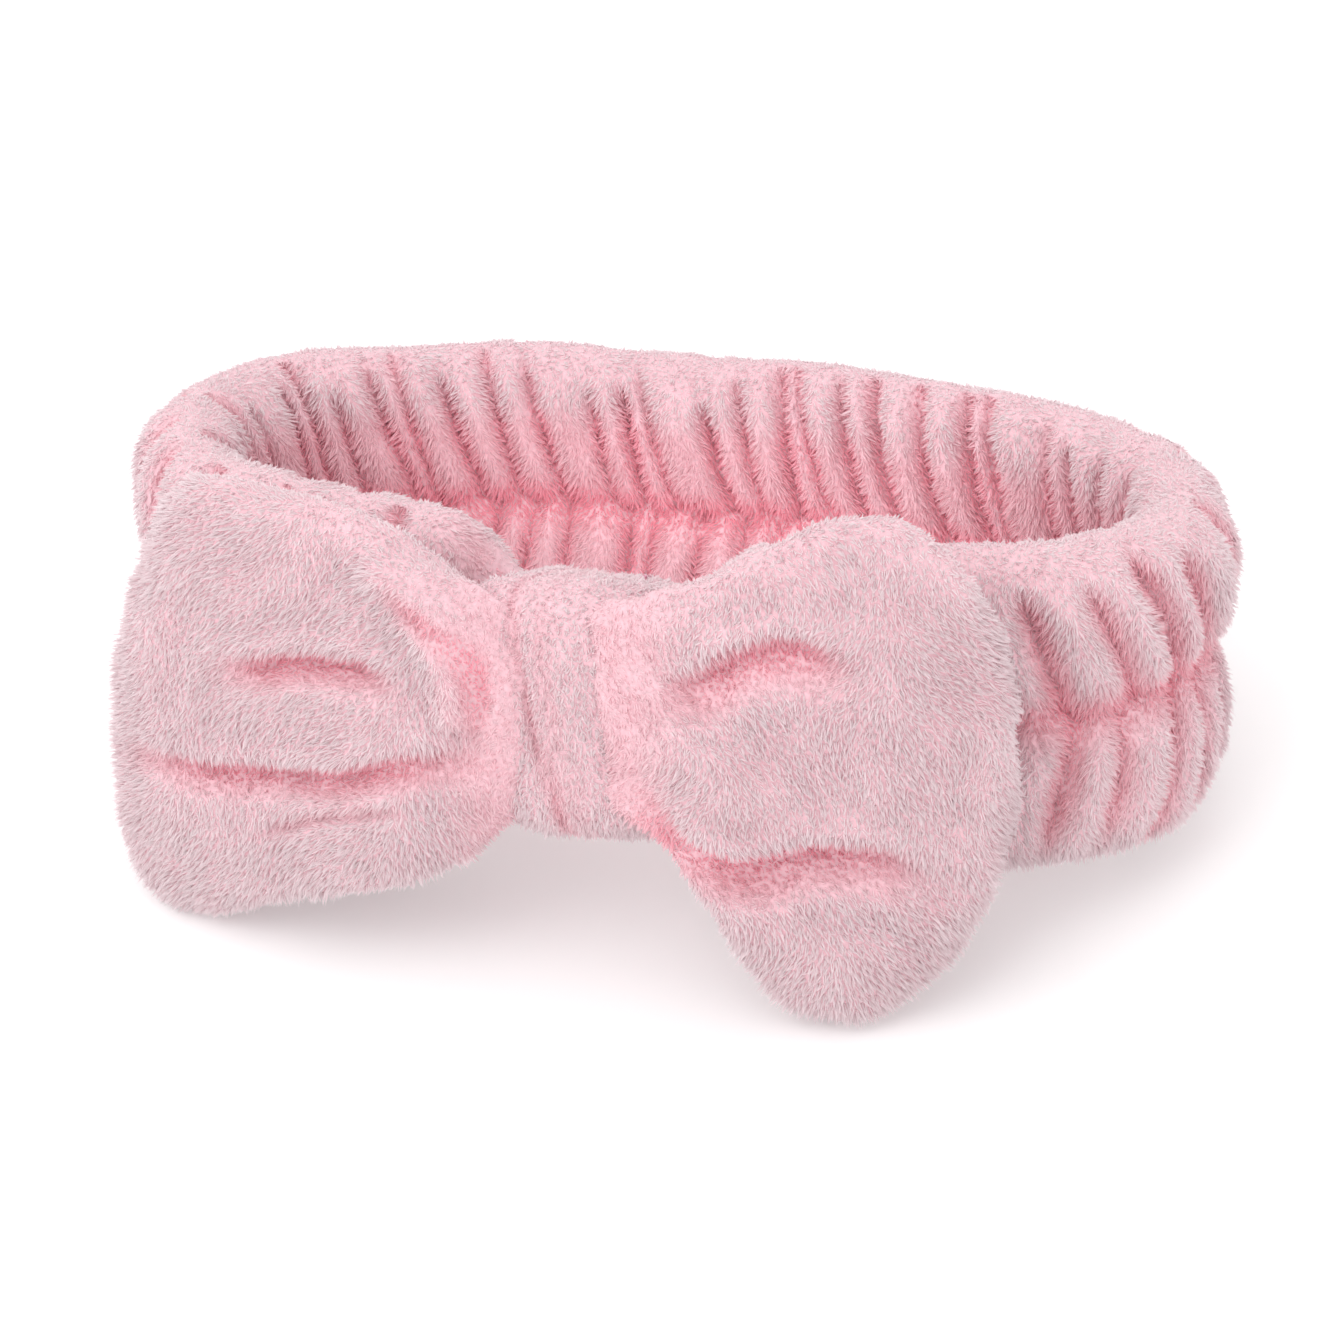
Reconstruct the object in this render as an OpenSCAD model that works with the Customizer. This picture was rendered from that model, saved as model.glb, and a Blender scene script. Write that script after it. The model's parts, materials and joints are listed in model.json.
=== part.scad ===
// Spa headband: a gathered plush loop on an elastic, with a plush bow held by a knot at the front.
// Millimetres. X to the wearer's left, front of the band towards -Y, Z up, standing on z = 0.

/* [Band] */
// Width of the loop, middle of one side to middle of the other
loop_w = 200; // [190:1:210]
// Depth of the loop, middle of the front to middle of the back
loop_d = 95; // [90:1:100]
// Radius of the loop's two rounded ends
end_r = 35; // [33:0.5:37]
// Height of the band
band_h = 65; // [62:1:68]
// Thickness of the band at each of its two puffs
band_t = 24; // [22:0.5:24]
// Thickness of the band at the stitched waist between the puffs
waist_t = 14; // [12:0.5:16]
// Thickness of the plush cloth with its pile
cloth_t = 3; // [2:0.25:3.5]
// Lean of the band when it stands on its bow and its back edge, in degrees
lean = 11.5; // [11:0.1:12]

/* [Elastic] */
// Height of the elastic tape
tape_h = 10; // [8:1:12]
// Thickness of the elastic tape
tape_t = 1.2; // [0.8:0.1:1.2]
// Length of tape that laps over itself at the front
lap_l = 24; // [16:1:24]
// Thickness of the sewing thread
thread_d = 0.8; // [0.5:0.1:0.8]

/* [Knot] */
// Width of the knot strip
knot_w = 30; // [26:1:30]
// Height of the knot's lower edge above the band's lower edge
knot_low = 9; // [8:0.5:10]
// Height of the knot's upper edge above the band's lower edge
knot_high = 62; // [61:0.5:63]
// Distance from the loop's centre to the knot's front
knot_front = 73; // [72.5:0.1:74]
// Thickness of the knot strip
knot_t = 4.5; // [4:0.1:4.5]

/* [Bow] */
// Half thickness of a wing near its middle
wing_r = 10; // [9.5:0.1:10]
// Half thickness of a wing where it meets the knot
root_r = 5; // [4.5:0.1:5]
// Gap between the knot and a wing
wing_gap = 0.8; // [0.5:0.1:1]

/* [Hidden] */

plush = "#f4c6d2";
deep_plush = "#ee9fb4";
tape_white = "#f5f2f0";
thread_pink = "#f2a9bd";
fill_white = "#fbfaf8";

// The loop is an oval of four tangent arcs: two round ends and two long, shallow arcs.
half_w = loop_w / 2;
half_d = loop_d / 2;
end_x = half_w - end_r;
long_r = (end_x^2 + half_d^2 - end_r^2) / (2 * (half_d - end_r));
end_deg = atan2(long_r - half_d, end_x);
long_deg = 90 - end_deg;
joint_gap_deg = 0.02;
end_stretches = 4;
split_gap = 0.3;
split_deg = asin(split_gap / 2 / end_r);

puff_r = band_t / 2;
puff_h = band_h / 2;
mid_z = band_h / 2;
thread_r = thread_d / 2;
row_off = waist_t / 2 + thread_r + 0.02;

// The band narrows to a neck inside the knot.
neck_half = knot_w / 2 + 2;
neck_deg = asin(neck_half / long_r);
neck_t = 16;
neck_low = knot_low + knot_t + 1.5;
neck_high = knot_high - knot_t - 2.5;
knot_back = half_d - neck_t / 2 - 1;
waist_front = knot_front - knot_t - 0.5;
waist_back = half_d + neck_t / 2 + 1;

floor_drop = 9.72;
centre_shift = 3.27;
root_x = knot_w / 2 + wing_gap;

// Middles of the balls that a wing is rounded over: x outward from the knot, y, z, then the radius.
right_form = [[root_x + root_r, -66, 20, root_r], [root_x + root_r, -66, 55, root_r],
              [45, -66.5, 67, wing_r], [58, -63.5, 73, wing_r], [72, -58.5, 64, wing_r - 1],
              [73.5, -58.5, 35, wing_r - 1], [70, -59, 5, wing_r - 1], [56, -63, -12.5, wing_r],
              [44, -66, -5, wing_r], [46, -66, 32, wing_r]];
left_form = [[root_x + root_r, -66, 18, root_r], [root_x + root_r, -66, 50, root_r],
             [40, -67, 66, wing_r], [72, -60.5, 62.5, wing_r - 1], [84, -57, 47, wing_r - 1],
             [88.5, -54.5, 31, wing_r - 1], [89.5, -54, 6, wing_r - 1], [84, -56, -12, wing_r - 1],
             [63, -61, -5, wing_r], [41, -67, 9, wing_r]];

// Stands the leaning band on the floor, with the middle of its box over the origin.
module standing() {
    translate([0, centre_shift, floor_drop]) rotate([-lean, 0, 0]) children();
}

// The loop is swept from a profile drawn as distance out from the loop's line against height.
// Each arc can be drawn as a few short stretches that meet end to end.
module end_arc(parts = 1) {
    step = (end_deg - split_deg) / parts;
    for (side = [0, 1], i = [0 : parts - 1]) mirror([side, 0, 0]) translate([end_x, 0, 0])
        rotate([0, 0, split_deg + i * step])
            rotate_extrude(angle = step - joint_gap_deg, $fn = 96) translate([end_r, 0]) children();
}

// A stretch of the long arc, between two angles from its middle.
module long_arc(from, to, parts = 1) {
    step = (to - from) / parts;
    for (i = [0 : parts - 1]) translate([0, half_d - long_r, 0]) rotate([0, 0, 90 + from + i * step])
        rotate_extrude(angle = step - (parts > 1 ? joint_gap_deg : 0), $fn = 192)
            translate([long_r, 0]) children();
}

module back_half(end_parts = 1, long_parts = 1) {
    end_arc(end_parts) children();
    long_arc(-long_deg, long_deg, long_parts) children();
}

// The front half leaves out the stretch inside the knot.
module front_sides(end_parts = 1, long_parts = 1) {
    mirror([0, 1, 0]) {
        end_arc(end_parts) children();
        for (side = [0, 1]) mirror([side, 0, 0]) long_arc(neck_deg, long_deg, long_parts) children();
    }
}

module front_half() {
    mirror([0, 1, 0]) back_half() children();
}

module front_arc(half_angle) {
    mirror([0, 1, 0]) long_arc(-half_angle, half_angle) children();
}

module puff(low, r) {
    translate([0, low + puff_r]) circle(r = r, $fn = 48);
    translate([0, low + puff_h - puff_r]) circle(r = r, $fn = 48);
    translate([-r, low + puff_r]) square([2 * r, puff_h - band_t]);
}

// Two hollow puffs, joined at the waist round a slot for the elastic.
module sleeve_profile() {
    web_low = mid_z - waist_t / 2;
    difference() {
        union() {
            puff(0, puff_r);
            puff(puff_h, puff_r);
            translate([-waist_t / 2, web_low]) square(waist_t);
        }
        difference() {
            union() {
                puff(0, puff_r - cloth_t);
                puff(puff_h, puff_r - cloth_t);
            }
            translate([-waist_t / 2, web_low]) square(waist_t);
        }
        tape_rect(0.1);
    }
}

module tape_rect(room) {
    translate([-tape_t / 2 - room, mid_z - tape_h / 2 - room])
        square([tape_t + 2 * room, tape_h + 2 * room]);
}

module tape_profile() {
    tape_rect(0);
}

module thread_profile(out, z) {
    translate([out, z]) circle(r = thread_r, $fn = 16);
}

// A rounded block that runs along X, from its section in Y and Z.
module along_x(length) {
    translate([-length / 2, 0, 0]) rotate([90, 0, 90]) linear_extrude(length) children();
}

module round_rect(y0, y1, z0, z1, r) {
    translate([y0 + r, z0]) square([y1 - y0 - 2 * r, z1 - z0]);
    translate([y0, z0 + r]) square([y1 - y0, z1 - z0 - 2 * r]);
    for (y = [y0 + r, y1 - r], z = [z0 + r, z1 - r]) translate([y, z]) circle(r = r, $fn = 48);
}

module neck_profile() {
    difference() {
        round_rect(-neck_t / 2, neck_t / 2, neck_low, neck_high, neck_t / 2 - 1);
        tape_rect(0.15);
    }
}

// Room for the lapped end of the tape, on the neck's front side.
module lap_profile(room) {
    translate([tape_t / 2 + 0.1 - room, mid_z - tape_h / 2 - room])
        square([tape_t + 2 * room, tape_h + 2 * room]);
}

// A wing is rounded over the balls of its form.
module wing_form(form, shrink) {
    hull() for (i = [0 : len(form) - 1])
        translate([form[i].x, form[i].y, form[i].z])
            sphere(r = form[i][3] - shrink, $fn = 26);
}

module wing_shell(form) {
    difference() {
        wing_form(form, 0);
        wing_form(form, cloth_t);
    }
}

module sleeve_front() {
    color(plush) standing() {
        front_sides(end_stretches, 2) sleeve_profile();
        difference() {
            front_arc(neck_deg - joint_gap_deg) neck_profile();
            front_arc(lap_deg(0.2)) lap_profile(0.1);
        }
    }
}

function lap_deg(room) = asin((lap_l / 2 + room) / long_r);

module sleeve_back() {
    color(plush) standing() back_half(end_stretches, 6) sleeve_profile();
}

module elastic_front() {
    color(tape_white) standing() front_half() tape_profile();
}

module elastic_back() {
    color(tape_white) standing() back_half() tape_profile();
}

module elastic_lap() {
    color(tape_white) standing() front_arc(lap_deg(0)) lap_profile(0);
}

// Short stitches through both layers of the lap.
module lap_tacks() {
    color(thread_pink) standing()
        for (x = [-lap_l / 2 + 4, lap_l / 2 - 4], z = [-1, 1])
            translate([x, -half_d + 1.4, mid_z + z * tape_h / 4]) rotate([90, 0, 0])
                cylinder(r = thread_r, h = 4, $fn = 16);
}

module outer_row_front() {
    color(thread_pink) standing() front_sides() thread_profile(row_off, mid_z);
}

module outer_row_back() {
    color(thread_pink) standing() back_half() thread_profile(row_off, mid_z);
}

module inner_row_front() {
    color(thread_pink) standing() front_sides() thread_profile(-row_off, mid_z);
}

module inner_row_back() {
    color(thread_pink) standing() back_half() thread_profile(-row_off, mid_z);
}

// The seam that closes the tube of cloth runs round the inside, low on the lower puff.
seam_out = -(puff_r + thread_r + 0.02) * cos(30);
seam_z = puff_r - (puff_r + thread_r + 0.02) * sin(30);

module hem_seam_front() {
    color(thread_pink) standing() front_sides() thread_profile(seam_out, seam_z);
}

module hem_seam_back() {
    color(thread_pink) standing() back_half() thread_profile(seam_out, seam_z);
}

// The ring of thread that joins the two ends of the tube, hidden by the knot.
module end_seam() {
    gap = 0.05;
    color(thread_pink) standing() translate([knot_w / 4, 0, 0]) along_x(thread_d) difference() {
        round_rect(-half_d - neck_t / 2 - 0.8, -half_d + neck_t / 2 + 0.9,
                   neck_low - 0.8, neck_high + 0.8, neck_t / 2);
        round_rect(-half_d - neck_t / 2 - gap, -half_d + neck_t / 2 + 0.25,
                   neck_low - gap, neck_high + gap, neck_t / 2 - 1);
    }
}

module knot_wrap() {
    color(plush) standing() along_x(knot_w) difference() {
        round_rect(-knot_front, -knot_back + knot_t, knot_low, knot_high, 9);
        round_rect(-knot_front + knot_t, -knot_back, knot_low + knot_t, knot_high - knot_t, 6);
    }
}

// Stitches that close the knot strip on the wearer's side.
module knot_stitches() {
    rows = 7;
    pitch = (knot_high - knot_low - 24) / (rows - 1);
    color(thread_pink) standing() for (i = [0 : rows - 1])
        translate([-2, -knot_back + knot_t + 0.1, knot_low + 12 + i * pitch]) rotate([0, 90, 0])
            cylinder(r = thread_r, h = 4, $fn = 16);
}

// The gathered middle of the bow, with a groove where the thread is wound.
module bow_waist() {
    color(deep_plush) standing() {
        for (side = [-1, 1]) translate([side * (knot_w / 4 + 0.5), 0, 0])
            along_x(knot_w / 2 - 2)
                round_rect(-waist_front, -waist_back, neck_low, neck_high, 4);
        along_x(6) round_rect(-waist_front + 1.4, -waist_back - 1.4, neck_low + 1.4, neck_high - 1.4, 3);
    }
}

module gather_thread() {
    turns = 3;
    color(thread_pink) standing() for (i = [0 : turns - 1])
        translate([(i - 1) * 0.9, 0, 0]) along_x(thread_d) difference() {
            round_rect(-waist_front + 0.4, -waist_back - 0.4, neck_low + 0.4, neck_high - 0.4, 4);
            round_rect(-waist_front + 1.3, -waist_back - 1.3, neck_low + 1.3, neck_high - 1.3, 3);
        }
}

// Stitches that hold the bow to the band under the knot.
module bow_tacks() {
    color(thread_pink) standing() for (x = [-9, 9], z = [-12, 0, 12])
        translate([x, -waist_back + 2.5, mid_z + z]) rotate([90, 0, 0])
            cylinder(r = thread_r, h = 5, $fn = 16);
}

module left_wing_shell() {
    color(plush) standing() mirror([1, 0, 0]) wing_shell(left_form);
}

module left_wing_fill() {
    color(fill_white) standing() mirror([1, 0, 0]) wing_form(left_form, cloth_t + 0.6);
}

// Height of a wing's flat front over three of its balls, as Y at a place X, Z.
function ball(form, i) = [form[i].x, form[i].y, form[i].z];
function front_y(form, i, j, k, x, z) =
    let (across = cross(ball(form, j) - ball(form, i), ball(form, k) - ball(form, i)),
         out = across / norm(across) * (across.y > 0 ? -1 : 1),
         start = ball(form, i) + out * form[i][3])
    start.y - ((x - start.x) * out.x + (z - start.z) * out.z) / out.y;

// A line of stitches across the left wing's front, where the bow's cloth was closed.
module left_wing_seam() {
    stitches = 7;
    pitch = 4.5;
    slope = 0.3;
    color(thread_pink) standing() mirror([1, 0, 0]) for (i = [0 : stitches - 1]) {
        x = 36 + pitch * i;
        z = 15 - slope * pitch * i;
        translate([x, front_y(left_form, 9, 8, 2, x, z), z]) rotate([0, 90, 14])
            cylinder(r = thread_r, h = 3, $fn = 16);
    }
}

module right_wing_shell() {
    color(plush) standing() wing_shell(right_form);
}

module right_wing_fill() {
    color(fill_white) standing() wing_form(right_form, cloth_t + 0.6);
}

sleeve_front();
sleeve_back();
elastic_front();
elastic_back();
elastic_lap();
lap_tacks();
outer_row_front();
outer_row_back();
inner_row_front();
inner_row_back();
hem_seam_front();
hem_seam_back();
end_seam();
knot_wrap();
knot_stitches();
bow_waist();
gather_thread();
bow_tacks();
left_wing_shell();
left_wing_fill();
left_wing_seam();
right_wing_shell();
right_wing_fill();
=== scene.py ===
import itertools
import json
import math
import bmesh
import bpy
import numpy as np
from mathutils import Matrix, Vector


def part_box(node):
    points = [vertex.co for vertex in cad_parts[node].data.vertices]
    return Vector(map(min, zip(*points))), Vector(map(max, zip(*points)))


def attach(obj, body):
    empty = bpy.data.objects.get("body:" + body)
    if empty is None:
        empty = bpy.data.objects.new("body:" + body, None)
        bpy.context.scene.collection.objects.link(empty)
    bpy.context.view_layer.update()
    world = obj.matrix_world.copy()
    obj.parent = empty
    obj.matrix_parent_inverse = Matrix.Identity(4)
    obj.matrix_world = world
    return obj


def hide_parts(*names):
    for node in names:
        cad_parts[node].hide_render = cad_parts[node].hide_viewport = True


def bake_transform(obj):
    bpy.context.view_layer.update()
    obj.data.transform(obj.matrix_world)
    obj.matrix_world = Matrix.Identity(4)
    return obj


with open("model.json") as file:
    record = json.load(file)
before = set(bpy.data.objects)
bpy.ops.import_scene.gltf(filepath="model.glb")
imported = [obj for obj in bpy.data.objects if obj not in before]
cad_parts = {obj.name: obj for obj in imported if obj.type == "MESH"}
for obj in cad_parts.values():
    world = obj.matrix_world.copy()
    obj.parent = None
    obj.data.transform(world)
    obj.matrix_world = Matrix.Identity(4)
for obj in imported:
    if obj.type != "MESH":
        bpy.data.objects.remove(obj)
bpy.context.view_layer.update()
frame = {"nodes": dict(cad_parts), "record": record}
record = frame["record"]
mm = 0.001

# the band's own frame: x across, y towards the back, z up from its lower edge, in mm
bandSizes = {"height": 65.0, "thick": 24.0, "endRadius": 35.0}
headMount = next(m for m in record["mounts"] if m["name"] == "head_opening")
bandCentre = np.array(headMount["pos_m"]) / mm
lean = math.atan2(headMount["axis"][1], headMount["axis"][2])


def place(points):
    # band frame in mm to the shared frame in metres
    p = np.asarray(points, float)
    up = p[..., 2] - bandSizes["height"] / 2
    out = np.empty_like(p)
    out[..., 0] = bandCentre[0] + p[..., 0]
    out[..., 1] = bandCentre[1] + p[..., 1] * math.cos(lean) + up * math.sin(lean)
    out[..., 2] = bandCentre[2] - p[..., 1] * math.sin(lean) + up * math.cos(lean)
    return out * mm


def unplace(points):
    # shared frame in metres back to the band frame in mm
    p = np.asarray(points, float) / mm - bandCentre
    out = np.empty_like(p)
    out[..., 0] = p[..., 0]
    out[..., 1] = p[..., 1] * math.cos(lean) - p[..., 2] * math.sin(lean)
    out[..., 2] = p[..., 1] * math.sin(lean) + p[..., 2] * math.cos(lean) + bandSizes["height"] / 2
    return out


def loopSizes():
    # the loop's half width and half depth, from the two sleeve halves' boxes
    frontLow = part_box("sleeve_front")[0] / mm
    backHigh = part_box("sleeve_back")[1] / mm
    thick, rise = bandSizes["thick"], bandSizes["height"] - bandSizes["thick"]
    depth = (backHigh.y - frontLow.y - thick - rise * math.sin(lean)) / (2 * math.cos(lean))
    return backHigh.x - thick / 2, depth


halfW, halfD = loopSizes()
endR = bandSizes["endRadius"]
endX = halfW - endR
longR = (endX**2 + halfD**2 - endR**2) / (2 * (halfD - endR))
longAngle = math.atan2(endX, longR - halfD)
longHalf = longR * longAngle
endLength = endR * (math.pi - 2 * longAngle)
loopLength = 4 * longHalf + 2 * endLength
print("loop: half width %.1f, half depth %.1f, length %.1f mm" % (halfW, halfD, loopLength))


def loopFrame(s):
    # point and outward direction on the loop's line; s runs from the front's middle towards +x
    s = np.mod(np.asarray(s, float), loopLength)
    ends = np.cumsum([longHalf, endLength, 2 * longHalf, endLength, longHalf])
    part = np.searchsorted(ends, s, side="right").clip(0, 4)
    before = np.concatenate([[0], ends[:-1]])[part]
    startAngle = np.array([0, longAngle, math.pi - longAngle, math.pi + longAngle, 2 * math.pi - longAngle])
    radius = np.array([longR, endR, longR, endR, longR])[part]
    centreX = np.array([0, endX, 0, -endX, 0])[part]
    centreY = np.array([longR - halfD, 0, halfD - longR, 0, longR - halfD])[part]
    angle = startAngle[part] + (s - before) / radius
    nx, ny = np.sin(angle), -np.cos(angle)
    return centreX + radius * nx, centreY + radius * ny, nx, ny


# small helpers
def smooth(low, high, value):
    t = np.clip((value - low) / (high - low), 0, 1)
    return t * t * (3 - 2 * t)


def lumps(points, size, seed, terms=6):
    # smooth seeded noise, about -1 to 1, with bumps of the given size
    rng = np.random.default_rng(seed)
    total = np.zeros(len(points))
    for _ in range(terms):
        k = rng.normal(size=3)
        k *= rng.uniform(0.7, 1.4) * 2 * math.pi / (size * 2.2 * np.linalg.norm(k))
        total += np.sin(points @ k + rng.uniform(0, 2 * math.pi))
    return total / math.sqrt(terms)


def makeMesh(name, verts, faces):
    mesh = bpy.data.meshes.new(name)
    faces = faces if isinstance(faces, list) else faces.tolist()
    mesh.from_pydata(np.asarray(verts).tolist(), [], faces)
    mesh.validate()
    mesh.shade_smooth()
    ob = bpy.data.objects.new(name, mesh)
    bpy.context.scene.collection.objects.link(ob)
    return ob


def evenSteps(line, count, closed):
    # the same line as points at even distances along it
    if closed:
        line = np.vstack([line, line[:1]])
    run = np.concatenate([[0], np.cumsum(np.linalg.norm(np.diff(line, axis=0), axis=1))])
    at = np.linspace(0, run[-1], count, endpoint=not closed)
    return np.stack([np.interp(at, run, line[:, k]) for k in range(line.shape[1])], 1)


def gridFaces(rows, columns, wrapRows, wrapColumns):
    # quads over a grid of vertices, closed round either way where asked
    i = np.arange(rows if wrapRows else rows - 1)
    j = np.arange(columns if wrapColumns else columns - 1)
    i, j = np.meshgrid(i, j, indexing="ij")
    a = i * columns + j
    b = i * columns + (j + 1) % columns
    c = ((i + 1) % rows) * columns + (j + 1) % columns
    d = ((i + 1) % rows) * columns + j
    return np.stack([a, b, c, d], -1).reshape(-1, 4)


def addFloats(ob, name, values):
    a = ob.data.attributes.new(name, "FLOAT", "POINT")
    a.data.foreach_set("value", np.asarray(values, np.float32))


def addVectors(ob, name, values):
    a = ob.data.attributes.new(name, "FLOAT_VECTOR", "POINT")
    a.data.foreach_set("vector", np.asarray(values, np.float32).ravel())


def readPoints(ob):
    # where a mesh's vertices are
    co = np.empty(len(ob.data.vertices) * 3, np.float32)
    ob.data.vertices.foreach_get("co", co)
    return co.reshape(-1, 3).astype(float)


def setPoints(ob, co):
    # moves a mesh's vertices
    ob.data.vertices.foreach_set("co", np.asarray(co, np.float32).ravel())
    ob.data.update()


def restOnFloor(ob, low, ease):
    # squashes whatever would pass through the floor, softly, so that it rests there
    co = readPoints(ob)
    z = co[:, 2] / mm
    pressed = low + ease * np.exp(np.minimum(z - low - ease, 0) / ease)
    co[:, 2] = np.where(z < low + ease, pressed, z) * mm
    setPoints(ob, co)


def vertexNormals(ob):
    n = np.empty(len(ob.data.vertices) * 3, np.float32)
    ob.data.vertex_normals.foreach_get("vector", n)
    return n.reshape(-1, 3).astype(float)


def direction(vector):
    # a direction in the band frame, turned into the shared frame
    v = np.asarray(vector, float)
    y = v[1] * math.cos(lean) + v[2] * math.sin(lean)
    z = -v[1] * math.sin(lean) + v[2] * math.cos(lean)
    return np.array([v[0], y, z])


# materials
# root and base are a deeper pink, partly painted shade down among the strands; crease is painted shade, the
# deeper pink laid on creases, folds and hollows
plushColours = {"root": (0.87, 0.62, 0.67), "middle": (0.845, 0.69, 0.72), "tip": (0.87, 0.75, 0.777),
                "base": (0.91, 0.58, 0.64), "crease": (1.0, 0.39, 0.48)}


def nodeMaterial(name):
    mat = bpy.data.materials.new(name)
    mat.use_nodes = True
    nodes, links = mat.node_tree.nodes, mat.node_tree.links
    shader = nodes["Principled BSDF"]
    return mat, nodes, links, shader


def pileMaterial(name):
    # deep pink at a strand's root, partly painted shade among the strands, and pale at its tip; strands in
    # creases, folds, hollows and beside the knot are mixed towards the crease colour, as painted shade
    mat, nodes, links, shader = nodeMaterial(name)
    shade = nodes.new("ShaderNodeAttribute")
    shade.attribute_name = "pileShade"
    deep = nodes.new("ShaderNodeAttribute")
    deep.attribute_name = "pilePaintedShade"
    ramp = nodes.new("ShaderNodeValToRGB")
    steps = ((0.0, "root"), (0.45, "middle"), (0.95, "tip"))
    for k, (at, colour) in enumerate(steps):
        step = ramp.color_ramp.elements[0] if k == 0 else ramp.color_ramp.elements.new(at)
        step.position = at
        step.color = (*plushColours[colour], 1)
    ramp.color_ramp.elements.remove(ramp.color_ramp.elements[-1])
    # painted shade: mixes the crease colour in where the cloth is in a crease, fold or hollow
    shadeMix = nodes.new("ShaderNodeMix")
    shadeMix.data_type = "RGBA"
    shadeMix.inputs["B"].default_value = (*plushColours["crease"], 1)
    links.new(shade.outputs["Fac"], ramp.inputs["Fac"])
    links.new(deep.outputs["Fac"], shadeMix.inputs["Factor"])
    links.new(ramp.outputs["Color"], shadeMix.inputs["A"])
    links.new(shadeMix.outputs["Result"], shader.inputs["Base Color"])
    shader.inputs["Roughness"].default_value = 0.8
    shader.inputs["Sheen Weight"].default_value = 0.1
    shader.inputs["Sheen Roughness"].default_value = 0.5
    shader.inputs["Subsurface Weight"].default_value = 0.3
    shader.inputs["Subsurface Scale"].default_value = 1.2 * mm
    shader.inputs["Subsurface Radius"].default_value = (1.0, 0.8, 0.85)
    return mat


weaves = {
    "knit": {"node": "ShaderNodeTexVoronoi", "output": "Distance", "dark": 0.8, "bump": 0.4,
             "relief": 0.0005, "roughness": 0.9, "sheen": 0.3},
    "twist": {"node": "ShaderNodeTexWave", "output": "Fac", "dark": 0.7, "bump": 0.5,
              "relief": 0.0002, "roughness": 0.45, "sheen": 0.0},
}
weaveScale = 900  # repeats to a metre


def wovenMaterial(name, colour, weave):
    # the knitted backing under the pile, or twisted sewing thread
    look = weaves[weave]
    mat, nodes, links, shader = nodeMaterial(name)
    coord = nodes.new("ShaderNodeTexCoord")
    pattern = nodes.new(look["node"])
    pattern.inputs["Scale"].default_value = weaveScale
    if weave == "twist":
        pattern.bands_direction = "DIAGONAL"
    mix = nodes.new("ShaderNodeMix")
    mix.data_type = "RGBA"
    mix.inputs["A"].default_value = (*[c * look["dark"] for c in colour], 1)
    mix.inputs["B"].default_value = (*colour, 1)
    bump = nodes.new("ShaderNodeBump")
    bump.inputs["Strength"].default_value = look["bump"]
    bump.inputs["Distance"].default_value = look["relief"]
    height = pattern.outputs[look["output"]]
    links.new(coord.outputs["Object"], pattern.inputs["Vector"])
    links.new(height, mix.inputs["Factor"])
    links.new(mix.outputs["Result"], shader.inputs["Base Color"])
    links.new(height, bump.inputs["Height"])
    links.new(bump.outputs["Normal"], shader.inputs["Normal"])
    shader.inputs["Roughness"].default_value = look["roughness"]
    shader.inputs["Sheen Weight"].default_value = look["sheen"]
    return mat


plushPile = pileMaterial("plushPile")
plushBacking = wovenMaterial("plushBacking", plushColours["base"], "knit")
pinkThread = wovenMaterial("pinkThread", (0.80, 0.32, 0.44), "twist")
tapeWeave = wovenMaterial("tapeWeave", (0.82, 0.80, 0.78), "knit")

# the pile: a Geometry Nodes tree that plants strands on a cloth
pile = {
    "perSquareMm": 4.5, "length": 1.6, "width": 0.34,  # strands to a square mm, and their size in mm
    "shortest": 0.72, "longest": 1.15,  # each strand's length against the usual one
    "rise": 0.8, "lean": 0.6, "loose": 0.09,  # stand away from the cloth, lie along it, stray from both
    "clump": 0.82, "clumpSize": 1.25, "swirl": 0.6, "swirlScale": 130,
    "seed": 7, "tintSeed": 3,
}
floorRest = {"pile": 0.15, "cloth": 0.9, "ease": 1.2}  # how low strands and cloth lie on the floor, in mm


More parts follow.
